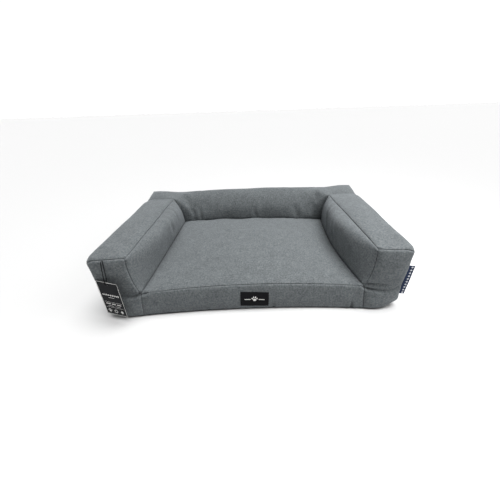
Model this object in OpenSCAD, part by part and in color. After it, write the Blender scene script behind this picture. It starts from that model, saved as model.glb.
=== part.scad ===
// Couch-style pet bed: a foam base with a raised bolster on three sides,
// in a sewn cover of separate fabric panels with a zip along the rear.
// +X is right, +Y is the back, +Z is up; the origin is the centre of the resting face.

/* [Bed] */
// Overall width across both arms
bed_w = 780; // [600:10:1000]
// Overall depth from the arm fronts to the rear
bed_d = 510; // [420:10:700]
// Height of the bolsters above the floor
bed_h = 176; // [150:1:220]

/* [Bolsters] */
// Width of an arm across its top
arm_w = 92; // [70:1:120]
// How far an arm leans in over the seat
arm_lean = 14; // [0:1:24]
// Thickness of the back bolster
back_t = 87; // [70:1:120]
// Radius of the back bolster's rolled top, on the seat side
back_roll = 34; // [20:1:50]
// Radius of the arms' top edges
edge_r = 14; // [8:1:20]

/* [Base and seat] */
// Height of the foam base under the bolsters
base_h = 64; // [50:1:80]
// Rise of the seat in the middle, above its sides
seat_crown = 14; // [0:1:20]
// How far the front of the seat curves in between the arms
front_scoop = 12; // [0:1:20]

/* [Cover] */
// Thickness of the upholstery cloth
cloth_t = 2; // [1:0.5:3]
// Thickness of the non-slip base cloth
bottom_t = 1.5; // [1:0.5:3]

/* [Zip] */
// Length of the zip along the rear
zip_len = 640; // [400:10:700]
// Height of the zip above the floor
zip_z = 34; // [28:1:44]
// Width of each zip tape that shows beside the coil
tape_w = 9; // [6:0.5:12]

/* [Labels] */
// Width of the woven front label
label_w = 76; // [50:1:100]
// Height of the woven front label
label_h = 42; // [25:1:44]
// Height of the folded side tab
tab_h = 90; // [50:1:100]
// How far the side tab stands out of its seam
tab_w = 16; // [10:1:24]
// Width of the hanging card tag
tag_w = 66; // [40:1:70]
// Length of the hanging card tag
tag_h = 102; // [80:1:108]
// Turn of the hanging card tag, its right side forward
tag_yaw = 18; // [10:1:24]
// Lean of the hanging card tag, its lower end forward
tag_lean = 6; // [4:1:8]

/* [Hidden] */

fabric_grey = [0.36, 0.38, 0.39];
lining_grey = [0.50, 0.51, 0.52];
foam_cream = [0.90, 0.86, 0.74];
fibre_white = [0.93, 0.93, 0.92];
base_black = [0.13, 0.13, 0.14];
zip_grey = [0.22, 0.23, 0.25];
metal_grey = [0.60, 0.60, 0.62];
label_black = [0.05, 0.05, 0.06];
tab_navy = [0.10, 0.14, 0.24];

side_x = bed_w / 2;
front_y = -bed_d / 2;
rear_y = bed_d / 2;
seam_x = side_x - arm_w;
seat_x = seam_x - arm_lean;
back_y = rear_y - back_t;
top_seam_z = bed_h - edge_r;
seat_side_z = base_h + 4;
lean_z = seat_side_z + 16;
deck_t = 1;
eps = 0.5;

// The zip: its tapes run past the coils, and the coils overlap the tapes' edges.
tape_t = 0.8;
tape_end = zip_len / 2 + 14;
coil_y = rear_y - 1.4;
coil_d = 2.4;
coil_gap = 0.6;
coil_h = 2.4;
coil_lap = 0.6;
band_top_z = zip_z + tape_w + coil_h;
groove_t = 4;
stop_l = 3;

// The slider: two plates joined by a web that runs between the coils, and a bridge.
slider_l = 12;
slider_h = 10;
slider_wall = 1;
slider_x = zip_len / 2 - slider_l / 2 - stop_l;
slide_gap = 0.4;
plate_y = coil_d / 2 + slide_gap;
web_l = 3;
web_t = 0.5;
bridge_d = 1.6;
bridge_rise = 3.4;
post_t = 1.2;
post_z = 3.2;
pin_y = plate_y + slider_wall + bridge_rise - bridge_d / 2;

// The pull: an eye on the bridge, a neck and a blade with a hole near its end.
pull_l = 26;
pull_w = 7;
pull_t = 1.4;
pull_eye_d = 4;
pull_eye_h = 4.4;
pull_neck_l = 4;
pull_root = 2.6;
pull_hole_d = 3;
pin_gap = 0.4;

label_t = 0.8;
label_x = 3;
label_z = 9;

tab_t = 1.6;
tab_z = 36;
tab_gap = 2.5;
tab_inset = 0.4;

tag_t = 0.8;
tag_hole_d = 5;
tag_hole_drop = 8;
tag_pos = [-354, front_y - 21, 114];

// The tag's cord: out of the arm's front seam, down, through the card and back up.
cord_d = 1.8;
cord_sides = 8;
cord_route = [[-353.5, -256.5, 171], [-353.6, -259.2, 170.6], [-353.8, -262.2, 168],
    [-354, -265, 162.5], [-354.2, -268.6, 153], [-354.5, -272.2, 142], [-354.8, -275.9, 131],
    [-355.1, -278.6, 123], [-355.2, -279.5, 118.8], [-354.8, -278.4, 115.8],
    [-354, -276, 114.6], [-353.2, -273.6, 115.8], [-352.8, -272.4, 118.8],
    [-352.6, -271.5, 123], [-352.2, -269.4, 131], [-351.8, -266.6, 142], [-351.4, -263.7, 153],
    [-351, -261.3, 162], [-350.8, -260, 167.3], [-350.7, -258.6, 170], [-350.6, -256.5, 171]];

// A rounded outline: each corner is [x, y, radius].
function unit(v) = v / norm(v);
function fillet(a, p, b, r, n) =
    let (u = unit(a - p), w = unit(b - p), half = acos(u * w) / 2,
        c = p + unit(u + w) * r / sin(half),
        s = p + u * r / tan(half) - c, e = p + w * r / tan(half) - c,
        a0 = atan2(s.y, s.x), turn = (atan2(e.y, e.x) - a0 + 540) % 360 - 180)
    [for (i = [0:n]) c + r * [cos(a0 + turn * i / n), sin(a0 + turn * i / n)]];
function rounded(corners, n = 6) =
    let (last = len(corners) - 1)
    [for (i = [0:last])
        let (a = corners[i == 0 ? last : i - 1], p = corners[i],
            b = corners[i == last ? 0 : i + 1])
        each (p[2] > 0 ? fillet([a.x, a.y], [p.x, p.y], [b.x, b.y], p[2], n)
            : [[p.x, p.y]])];

// Plan of the base: the front edge curves in between the arms.
function scoop(x) = abs(x) < seam_x ? front_scoop * (1 - pow(x / seam_x, 2)) : 0;
function plan(inset) =
    concat([[-side_x + inset, rear_y - inset], [-side_x + inset, front_y + inset]],
        [for (i = [-8:8]) let (x = seam_x * i / 8) [x, front_y + inset + scoop(x)]],
        [[side_x - inset, front_y + inset], [side_x - inset, rear_y - inset]]);
module plan_slab(inset, z0, z1)
    translate([0, 0, z0]) linear_extrude(z1 - z0) polygon(plan(inset));

// Section of the left arm in the XZ plane, from the base up.
function arm_section(inset) =
    let (slant = inset * sqrt(1 + pow(arm_lean / (bed_h - lean_z), 2)))
    rounded([[-side_x + inset, base_h, 0], [-side_x + inset, bed_h - inset, edge_r - inset],
        [-seam_x - slant, bed_h - inset, edge_r - inset], [-seat_x - slant, lean_z, 0],
        [-seat_x - inset, base_h, 0]]);
module arm_prism(inset, y0, y1)
    translate([0, y1, 0]) rotate([90, 0, 0]) linear_extrude(y1 - y0)
        polygon(arm_section(inset));

// Section of the back bolster in the YZ plane, from z0 up.
function back_section(inset, z0) =
    rounded([[back_y + inset, z0, 0], [back_y + inset, bed_h - inset, back_roll - inset],
        [rear_y - inset, bed_h - inset, edge_r - inset], [rear_y - inset, z0, 0]]);
module back_prism(inset, x0, x1, z0 = base_h)
    translate([x0, 0, 0]) rotate([90, 0, 90]) linear_extrude(x1 - x0)
        polygon(back_section(inset, z0));

// The seat's crowned section in the XZ plane, between its sides.
function seat_z(x) = seat_side_z + seat_crown * (1 - pow(x / seat_x, 2));
function seat_curve(rise) =
    [for (i = [-8:8]) let (x = seat_x * i / 8) [x, seat_z(x) + rise]];
module seat_prism(z0, rise)
    translate([0, back_y, 0]) rotate([90, 0, 0]) linear_extrude(bed_d)
        polygon(concat([[seat_x, z0], [-seat_x, z0]], seat_curve(rise)));

module box(lo, hi) translate(lo) cube(hi - lo);
module mirror_x(side) mirror([side > 0 ? 1 : 0, 0, 0]) children();

// --- Base ---

module bottom_panel() color(base_black) plan_slab(0, 0, bottom_t);

module base_foam() color(foam_cream) difference() {
    plan_slab(cloth_t, bottom_t, base_h - deck_t);
    zip_groove();
}

// The foam gives way behind the zip, where the slider's inner plate runs.
module zip_groove()
    box([-tape_end, rear_y - cloth_t - groove_t, zip_z - slider_h / 2 - slider_wall],
        [tape_end, rear_y, zip_z + slider_h / 2 + slider_wall]);

module deck_lining() color(lining_grey) plan_slab(cloth_t, base_h - deck_t, base_h);

module seat_wadding() color(fibre_white) intersection() {
    seat_prism(base_h, 0);
    plan_slab(cloth_t, base_h, bed_h);
}

module seat_panel() color(fabric_grey) difference() {
    intersection() {
        seat_prism(base_h, cloth_t);
        plan_slab(cloth_t, base_h, bed_h);
    }
    seat_prism(base_h - eps, 0);
}

module front_band() color(fabric_grey) intersection() {
    difference() {
        plan_slab(0, bottom_t, bed_h);
        plan_slab(cloth_t, bottom_t - eps, bed_h + eps);
    }
    union() {
        box([-seam_x, front_y - eps, bottom_t], [seam_x, front_y + 3 * front_scoop, base_h]);
        seat_prism(base_h, cloth_t);
    }
}

// --- Arms, written for the left one ---

module arm_fill(side) mirror_x(side) color(fibre_white) difference() {
    arm_prism(cloth_t, front_y + cloth_t, back_y + back_roll);
    back_prism(0, -bed_w, bed_w, base_h - eps);
}

module arm_shell() difference() {
    arm_prism(0, front_y + cloth_t, back_y + back_roll);
    translate([0, 0, -eps]) arm_prism(cloth_t, front_y, rear_y + eps);
    arm_prism(cloth_t, front_y, rear_y + eps);
    back_prism(0, -bed_w, bed_w, base_h - eps);
}

module arm_top_panel(side) mirror_x(side) color(fabric_grey) intersection() {
    arm_shell();
    box([-bed_w, front_y, top_seam_z], [0, rear_y, bed_h]);
}

module arm_inner_panel(side) mirror_x(side) color(fabric_grey) intersection() {
    arm_shell();
    box([-side_x + arm_w / 2, front_y, base_h], [0, rear_y, top_seam_z]);
}

module arm_front_panel(side) mirror_x(side) color(fabric_grey) union() {
    arm_prism(0, front_y, front_y + cloth_t);
    box([-side_x, front_y, bottom_t], [-seam_x, front_y + cloth_t, base_h]);
}

module side_panel(side) mirror_x(side) color(fabric_grey) difference() {
    box([-side_x, front_y + cloth_t, bottom_t],
        [-side_x + cloth_t, back_y + back_roll, top_seam_z]);
    back_prism(0, -bed_w, bed_w, 0);
}

// --- Back bolster ---

module back_bolster_fill() color(fibre_white)
    back_prism(cloth_t, -side_x + cloth_t, side_x - cloth_t);

module back_end_panel(side) mirror_x(side) color(fabric_grey)
    back_prism(0, -side_x, -side_x + cloth_t, bottom_t);

module back_shell() difference() {
    back_prism(0, -side_x + cloth_t, side_x - cloth_t);
    back_prism(cloth_t, -side_x, side_x, base_h - eps);
}

module back_bolster_panel() color(fabric_grey) difference() {
    back_shell();
    box([-side_x, rear_y - cloth_t - eps, 0], [side_x, rear_y + eps, top_seam_z]);
}

module rear_panel() color(fabric_grey)
    box([-side_x + cloth_t, rear_y - cloth_t, band_top_z],
        [side_x - cloth_t, rear_y, top_seam_z]);

module rear_lower_band() color(fabric_grey) difference() {
    box([-side_x + cloth_t, rear_y - cloth_t, bottom_t],
        [side_x - cloth_t, rear_y, band_top_z]);
    box([-tape_end, rear_y - cloth_t - eps, zip_z - tape_w - coil_h],
        [tape_end, rear_y + eps, bed_h]);
}

// --- Zip: two coils on two tapes, a slider that runs between them, and its pull ---

module zip_half(up) translate([0, 0, zip_z]) mirror([0, 0, up > 0 ? 0 : 1]) children();

module zip_tape(up) color(zip_grey) zip_half(up)
    box([-tape_end, coil_y - tape_t / 2, coil_gap + coil_h - coil_lap],
        [tape_end, coil_y + tape_t / 2, tape_w + coil_h]);

module zip_coils() color(zip_grey)
    for (up = [-1, 1]) zip_half(up)
        box([-zip_len / 2, coil_y - coil_d / 2, coil_gap],
            [zip_len / 2, coil_y + coil_d / 2, coil_gap + coil_h - coil_lap]);

module zip_stops() color(metal_grey)
    for (side = [-1, 1]) translate([side * (zip_len + stop_l) / 2, coil_y, zip_z])
        cube([stop_l, coil_d + slide_gap, 2 * coil_h], center = true);

module slider_plate(face) translate([0, face * (plate_y + slider_wall / 2), 0])
    cube([slider_l, slider_wall, slider_h], center = true);

module slider_web() translate([slider_l / 2 - web_l, -plate_y, -web_t / 2])
    cube([web_l, 2 * plate_y, web_t]);

module slider_post(end)
    translate([-bridge_d / 2, plate_y + slider_wall, end * post_z - post_t / 2])
        cube([bridge_d, bridge_rise, post_t]);

module zip_slider() color(metal_grey) translate([slider_x, coil_y, zip_z]) union() {
    for (face = [-1, 1]) slider_plate(face);
    slider_web();
    for (end = [-1, 1]) slider_post(end);
    translate([0, pin_y, -post_z]) cylinder(d = bridge_d, h = 2 * post_z, $fn = 32);
}

// The pull lies flat towards the closed chain and swings on the slider's bridge.
module zip_pull() color(metal_grey) translate([slider_x, coil_y + pin_y, zip_z]) difference() {
    union() {
        cylinder(d = pull_eye_d, h = pull_eye_h, center = true, $fn = 40);
        translate([-pull_l, -pull_t / 2, -pull_w / 2]) cube([pull_l - pull_root, pull_t, pull_w]);
        translate([-pull_neck_l, -pull_t / 2, -pull_eye_h / 2])
            cube([pull_neck_l, pull_t, pull_eye_h]);
    }
    cylinder(d = bridge_d + 2 * pin_gap, h = pull_w, center = true, $fn = 40);
    translate([pull_neck_l - pull_l, 0, 0]) rotate([90, 0, 0])
        cylinder(d = pull_hole_d, h = 2 * pull_t, center = true, $fn = 32);
}

// --- Labels ---

module front_label() color(label_black) intersection() {
    difference() {
        plan_slab(-label_t, 0, bed_h);
        plan_slab(0, -eps, bed_h + eps);
    }
    box([label_x - label_w / 2, front_y - label_t, label_z],
        [label_x + label_w / 2, front_y + 2 * front_scoop, label_z + label_h]);
}

module side_tab() color(tab_navy)
    box([side_x + tab_gap, front_y + tab_inset, tab_z],
        [side_x + tab_gap + tab_w, front_y + tab_inset + tab_t, tab_z + tab_h]);

// The card hangs from its hole, leaning on the arm behind it.
module hang_tag() color(label_black)
    translate(tag_pos) rotate([0, 0, -tag_yaw]) rotate([-tag_lean, 0, 0]) difference() {
        translate([-tag_w / 2, -tag_t / 2, tag_hole_drop - tag_h]) cube([tag_w, tag_t, tag_h]);
        rotate([90, 0, 0])
            cylinder(d = tag_hole_d, h = 4 * tag_t, center = true, $fn = 40);
    }

function tangent(p, i) =
    unit(p[min(i + 1, len(p) - 1)] - p[max(i - 1, 0)]);
function spline_point(p, i, t) =
    let (a = p[max(i - 1, 0)], b = p[i], c = p[i + 1], d = p[min(i + 2, len(p) - 1)])
    0.5 * (2 * b + (c - a) * t + (2 * a - 5 * b + 4 * c - d) * t * t
        + (3 * b - a - 3 * c + d) * t * t * t);
function spline(p, n) =
    concat([for (i = [0:len(p) - 2], k = [0:n - 1]) spline_point(p, i, k / n)],
        [p[len(p) - 1]]);
module tube(path, d) {
    rings = len(path);
    points = [for (i = [0:rings - 1])
        let (t = tangent(path, i), u = unit(cross(t, [1, 0, 0])), v = cross(t, u))
        for (k = [0:cord_sides - 1])
            path[i] + d / 2 * (cos(360 * k / cord_sides) * u + sin(360 * k / cord_sides) * v)];
    sides = [for (i = [0:rings - 2], k = [0:cord_sides - 1])
        let (a = i * cord_sides + k, b = i * cord_sides + (k + 1) % cord_sides)
        [a, a + cord_sides, b + cord_sides, b]];
    polyhedron(points, concat([[for (k = [0:cord_sides - 1]) k]], sides,
        [[for (k = [cord_sides - 1:-1:0]) (rings - 1) * cord_sides + k]]));
}
module hang_tag_cord() color(label_black) tube(spline(cord_route, 2), cord_d);

bottom_panel();
base_foam();
seat_wadding();
deck_lining();
seat_panel();
front_band();
arm_fill(-1);  // left_arm_fill
arm_fill(1);  // right_arm_fill
back_bolster_fill();
arm_top_panel(-1);  // left_arm_top_panel
arm_top_panel(1);  // right_arm_top_panel
arm_inner_panel(-1);  // left_arm_inner_panel
arm_inner_panel(1);  // right_arm_inner_panel
arm_front_panel(-1);  // left_arm_front_panel
arm_front_panel(1);  // right_arm_front_panel
side_panel(-1);  // left_side_panel
side_panel(1);  // right_side_panel
back_end_panel(-1);  // left_back_end_panel
back_end_panel(1);  // right_back_end_panel
back_bolster_panel();
rear_panel();
rear_lower_band();
zip_tape(1);  // upper_zip_tape
zip_tape(-1);  // lower_zip_tape
zip_coils();
zip_stops();
zip_slider();
zip_pull();
front_label();
side_tab();
hang_tag();
hang_tag_cord();
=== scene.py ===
"""Looks for the couch-style pet bed: sewn fabric panels over a foam base and three bolsters."""

import math

import bpy
import numpy as np
from mathutils import Matrix, Vector, kdtree, noise
from mathutils.bvhtree import BVHTree


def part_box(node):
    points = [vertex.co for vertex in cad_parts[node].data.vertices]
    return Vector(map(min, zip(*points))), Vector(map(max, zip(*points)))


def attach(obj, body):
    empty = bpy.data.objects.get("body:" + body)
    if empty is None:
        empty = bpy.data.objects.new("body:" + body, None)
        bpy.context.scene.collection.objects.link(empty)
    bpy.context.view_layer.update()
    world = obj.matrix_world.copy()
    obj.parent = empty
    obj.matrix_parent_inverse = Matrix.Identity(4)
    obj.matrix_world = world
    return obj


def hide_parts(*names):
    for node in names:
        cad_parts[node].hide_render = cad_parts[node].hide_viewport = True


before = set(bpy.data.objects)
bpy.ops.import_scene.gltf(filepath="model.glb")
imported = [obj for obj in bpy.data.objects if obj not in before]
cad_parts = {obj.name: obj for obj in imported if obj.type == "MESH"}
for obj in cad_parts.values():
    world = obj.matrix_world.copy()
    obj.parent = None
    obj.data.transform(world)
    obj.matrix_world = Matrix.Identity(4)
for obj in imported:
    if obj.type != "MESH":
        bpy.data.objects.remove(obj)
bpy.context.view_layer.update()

# ---- sizes from the frame, metres
BASE_LO, BASE_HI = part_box("bottom_panel")
HALF_W, FRONT, REAR = BASE_HI.x, BASE_LO.y, BASE_HI.y
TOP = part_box("left_arm_top_panel")[1].z
SEAM_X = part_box("front_band")[1].x
BACK_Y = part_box("back_bolster_panel")[0].y
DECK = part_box("deck_lining")[1].z
ZIP_LO, ZIP_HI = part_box("lower_zip_tape")[0].z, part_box("upper_zip_tape")[1].z
ZIP_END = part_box("lower_zip_tape")[1].x

# ---- node trees
def greys(*stops):
    """A ramp's stops in grey, from pairs of place and level."""
    return [(at, (level, level, level)) for at, level in stops]


def set_stops(ramp, stops):
    ramp.elements.remove(ramp.elements[1])
    for _ in stops[1:]:
        ramp.elements.new(1.0)
    for element, (at, colour) in zip(ramp.elements, stops):
        element.position = at
        element.color = (*colour, 1)


class Nodes:
    """A few short calls for building a node tree."""

    def __init__(self, tree):
        self.tree = tree

    def node(self, kind, **values):
        """A node with its settings, and its input sockets where the name isn't a setting."""
        made = self.tree.nodes.new(kind)
        for key, value in values.items():
            if hasattr(made, key):
                setattr(made, key, value)
            else:
                made.inputs[key].default_value = value
        return made

    def feed(self, socket, value):
        """Sets a socket to a number or a colour, or links it to another node's output."""
        if isinstance(value, (int, float)):
            socket.default_value = value
        elif isinstance(value, tuple):
            socket.default_value = (*value, 1)
        else:
            self.tree.links.new(value, socket)

    def ramp(self, value, stops):
        made = self.node("ShaderNodeValToRGB")
        set_stops(made.color_ramp, stops)
        self.feed(made.inputs["Fac"], value)
        return made.outputs["Color"]

    def math(self, operation, a, b):
        made = self.node("ShaderNodeMath", operation=operation)
        self.feed(made.inputs[0], a)
        self.feed(made.inputs[1], b)
        return made.outputs["Value"]

    def mix(self, factor, a, b, blend="MIX"):
        made = self.node("ShaderNodeMix", data_type="RGBA", blend_type=blend)
        for number, value in ((0, factor), (6, a), (7, b)):
            self.feed(made.inputs[number], value)
        return made.outputs[2]


class Shade(Nodes):
    """A material built on its principled shader."""

    def __init__(self, name, rough=0.8, metal=0.0):
        self.material = bpy.data.materials.new(name)
        self.material.use_nodes = True
        super().__init__(self.material.node_tree)
        self.shader = self.tree.nodes["Principled BSDF"]
        self.set("Roughness", rough)
        self.set("Metallic", metal)

    def set(self, socket, value):
        self.shader.inputs[socket].default_value = value

    def coords(self, attribute=None, scale=(1, 1, 1)):
        mapping = self.node("ShaderNodeMapping", Scale=scale)
        if attribute:
            source = self.node("ShaderNodeAttribute", attribute_name=attribute).outputs["Vector"]
        else:
            source = self.node("ShaderNodeTexCoord").outputs["Object"]
        self.feed(mapping.inputs["Vector"], source)
        return mapping.outputs["Vector"]

    def noise(self, vector, scale, detail=3.0, rough=0.55):
        made = self.node("ShaderNodeTexNoise", Scale=scale, Detail=detail, Roughness=rough)
        self.feed(made.inputs["Vector"], vector)
        return made.outputs["Fac"]

    def bump(self, height, strength, distance, under=None):
        made = self.node("ShaderNodeBump", Strength=strength, Distance=distance)
        self.feed(made.inputs["Height"], height)
        if under is not None:
            self.feed(made.inputs["Normal"], under)
        return made.outputs["Normal"]

    def finish(self, colour, normal, shine):
        self.feed(self.shader.inputs["Base Color"], colour)
        self.feed(self.shader.inputs["Normal"], normal)
        self.set("Specular IOR Level", shine)
        return self.material

    def weave(self, vector, pitch):
        """Height of a plain weave: over and under threads in the cloth's own directions."""
        parts = self.node("ShaderNodeSeparateXYZ")
        self.feed(parts.inputs[0], vector)
        turn = 2 * math.pi / pitch
        a, b = (self.math("SINE", self.math("MULTIPLY", parts.outputs[axis], turn), 0) for axis in "XY")
        return self.math("MULTIPLY", a, b)


# ---- camera, lights, floor
LENS = 17.38
CAMERA_PLACE = (0.0175, -0.7444, 0.4714)
CAMERA_TILT = 35.9
CAMERA_ROLL = -1.93
CAMERA_SHIFT = (-0.0175, 0.0476)

# The sky's brightness by the height of a direction, and how dim it is behind the camera.
SKY = [(0.0, 1.0), (0.24, 1.0), (0.36, 0.35), (0.5, 0.25), (0.75, 0.29), (1.0, 0.9)]
SKY_STRENGTH = 1.06
FRONT_LEVEL = 0.2
FRONT_BAND = (-0.6, 0.1)
SUN_POWER, SUN_SPREAD, SUN_WAY = 3.45, 50, (-0.20, -0.15, -1)
# Each lamp: name, place, what it is aimed at, size and power.
LAMPS = [("fill", (0.80, -0.45, 0.78), (0.05, 0.05, 0.05), 0.6, 3),
         ("top", (0.42, -0.18, 0.75), (0.10, 0.05, 0.08), 0.5, 2.2)]
FLOOR_REACH = 14
FLOOR_TONE = 0.66


def put(name, data):
    """A new object in the scene."""
    obj = bpy.data.objects.new(name, data)
    bpy.context.scene.collection.objects.link(obj)
    return obj


def aim(lamp, way):
    lamp.rotation_euler = Vector(way).to_track_quat("-Z", "Y").to_euler()


def make_camera():
    data = bpy.data.cameras.new("camera")
    data.lens = LENS
    data.sensor_width = 36
    data.shift_x, data.shift_y = CAMERA_SHIFT
    data.clip_start = 0.01
    camera = put("camera", data)
    turn = Matrix.Rotation(math.radians(90 - CAMERA_TILT), 4, "X")
    roll = Matrix.Rotation(math.radians(CAMERA_ROLL), 4, "Z")
    camera.matrix_world = Matrix.Translation(CAMERA_PLACE) @ turn @ roll
    bpy.context.scene.camera = camera


def make_sky():
    """A light tent: white at the horizon and overhead, dim between them and behind the camera."""
    world = bpy.data.worlds.new("studio")
    bpy.context.scene.world = world
    world.use_nodes = True
    sky = Nodes(world.node_tree)
    way = sky.node("ShaderNodeSeparateXYZ")
    sky.feed(way.inputs[0], sky.node("ShaderNodeTexCoord").outputs["Generated"])
    limits = {"From Min": FRONT_BAND[0], "From Max": FRONT_BAND[1], "To Min": FRONT_LEVEL}
    behind = sky.node("ShaderNodeMapRange", **limits)
    sky.feed(behind.inputs["Value"], way.outputs["Y"])
    dim = sky.node("ShaderNodeVectorMath", operation="SCALE")
    sky.feed(dim.inputs[0], sky.ramp(way.outputs["Z"], greys(*SKY)))
    sky.feed(dim.inputs["Scale"], behind.outputs["Result"])
    background = sky.tree.nodes["Background"].inputs
    sky.feed(background["Color"], dim.outputs["Vector"])
    sky.feed(background["Strength"], SKY_STRENGTH)


def make_lights():
    data = bpy.data.lights.new("key", "SUN")
    data.energy = SUN_POWER
    data.angle = math.radians(SUN_SPREAD)
    aim(put("key", data), SUN_WAY)
    for name, place, target, size, power in LAMPS:
        data = bpy.data.lights.new(name, "AREA")
        data.shape = "DISK"
        data.size = size
        data.energy = power
        lamp = put(name, data)
        lamp.location = place
        aim(lamp, Vector(target) - Vector(place))


def make_floor():
    mesh = bpy.data.meshes.new("floor")
    reach = FLOOR_REACH
    mesh.from_pydata([(-reach, -reach, 0), (reach, -reach, 0), (reach, reach, 0), (-reach, reach, 0)],
                     [], [(0, 1, 2, 3)])
    shade = Shade("floor_pale", rough=0.9)
    shade.set("Base Color", (FLOOR_TONE, FLOOR_TONE, FLOOR_TONE, 1))
    mesh.materials.append(shade.material)
    put("floor", mesh)


def make_stage():
    bpy.context.scene.view_settings.view_transform = "Standard"
    make_sky()
    make_lights()
    make_floor()


# ---- materials
CLOTH_UV = "cloth_uv"
SEAM_ATTRIBUTE = "seam"
# Painted shade along a seam, then a painted highlight beside it, by the distance in parts of SEAM_SPAN.
SEAM_SPAN = 0.008
SEAM_SHADE_AND_HIGHLIGHT = greys((0.0, 0.38), (0.1, 0.60), (0.2, 1.16), (0.36, 1.10), (0.6, 1.0))
CLOTH_DARK, CLOTH_LIGHT, CLOTH_MEAN = (0.060, 0.069, 0.073), (0.158, 0.171, 0.175), (0.112, 0.122, 0.126)
CLOTH_PITCH = 0.0022
SLUB = (55, 900, 1)


def upholstery():
    shade = Shade("grey_woven_upholstery", rough=0.92)
    place = shade.coords()
    mottle = shade.noise(place, 230, 5, 0.7)
    along = shade.noise(shade.coords(CLOTH_UV, SLUB), 1, 3, 0.6)
    across = shade.noise(shade.coords(CLOTH_UV, (SLUB[1], SLUB[0], 1)), 1, 3, 0.6)
    tone = shade.ramp(mottle, [(0.34, CLOTH_DARK), (0.66, CLOTH_LIGHT)])
    tone = shade.mix(shade.math("MULTIPLY", shade.noise(place, 14, 2), 0.2), tone, CLOTH_MEAN)
    threads = shade.math("MULTIPLY", shade.math("ADD", along, across), 0.5)
    # The seam distance darkens the cloth into a painted shade at each seam and lightens it into a painted
    # highlight just beside it.
    seam = shade.node("ShaderNodeAttribute", attribute_name=SEAM_ATTRIBUTE).outputs["Fac"]
    for value, stops in ((threads, greys((0.36, 0.78), (0.64, 1.20))),
                         (shade.noise(place, 42, 3), greys((0.34, 0.92), (0.66, 1.07))),
                         (shade.math("MULTIPLY", seam, 1 / SEAM_SPAN), SEAM_SHADE_AND_HIGHLIGHT)):
        tone = shade.mix(1.0, tone, shade.ramp(value, stops), "MULTIPLY")
    low = shade.bump(mottle, 0.5, 0.0008)
    fine = shade.bump(shade.weave(shade.coords(CLOTH_UV), CLOTH_PITCH), 0.35, 0.0003, low)
    shade.set("Sheen Weight", 0.25)
    shade.set("Sheen Roughness", 0.6)
    shade.set("Sheen Tint", (0.75, 0.8, 0.85, 1))
    return shade.finish(tone, fine, 0.2)


def plain(name, dark, light, scale=300, rough=0.8, metal=0.0, bump=0.0002, shine=0.3):
    """A mottled procedural finish for a small or hidden piece."""
    shade = Shade(name, rough, metal)
    specks = shade.noise(shade.coords(), scale, 4)
    tone = shade.ramp(specks, [(0.3, dark), (0.7, light)])
    return shade.finish(tone, shade.bump(specks, 0.5, bump), shine)


def woven(name, dark, light, pitch):
    """A fine woven finish for a label or a tape, on the piece's own cloth coordinates."""
    shade = Shade(name, 0.85)
    tone = shade.ramp(shade.noise(shade.coords(), 900, 3), [(0.3, dark), (0.7, light)])
    weave = shade.weave(shade.coords(CLOTH_UV), pitch)
    return shade.finish(tone, shade.bump(weave, 0.5, 0.00015), 0.1)


# ---- the cover's sewn shape
# Seams are curves, and each panel is a grid between four of them. A curve is (points, hold),
# where hold is how firmly the sewing keeps it while the cover is stuffed.
ARM_CELLS, SEAT_CELLS, DEPTH_CELLS, BACK_CELLS, BOLSTER_CELLS = 16, 96, 68, 14, 18
BASE_ROWS = [0.004, 0.0065, 0.0115, 0.0168, ZIP_LO, 0.0283, 0.034, 0.0397, ZIP_HI, 0.0510,
             0.0565, 0.0615, DECK]
SEAM, SOFT_SEAM, FREE = 1.0, 0.5, 0.0
SEAM_CELL = 0.0022


def steps(cells, length):
    """Places along a panel's side, with a narrow cell next to the seam at each end."""
    narrow = SEAM_CELL / length
    return np.concatenate([[0], np.linspace(narrow, 1 - narrow, cells - 1), [1]])


ARM_STEPS = steps(ARM_CELLS, HALF_W - SEAM_X)
SEAT_STEPS = steps(SEAT_CELLS, 2 * SEAM_X)
DEPTH_STEPS = steps(DEPTH_CELLS, BACK_Y - FRONT)
BACK_STEPS = steps(BACK_CELLS, REAR - BACK_Y)
BOLSTER_STEPS = steps(BOLSTER_CELLS, TOP - DECK)
BASE_STEPS = (np.array(BASE_ROWS) - BASE_ROWS[0]) / (BASE_ROWS[-1] - BASE_ROWS[0])


def line(a, b, t):
    return np.outer(1 - t, a) + np.outer(t, b)


def ease(t):
    t = np.clip(t, 0, 1)
    return t * t * (3 - 2 * t)


COVER_STANDS_OUT = 0.0025


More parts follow.
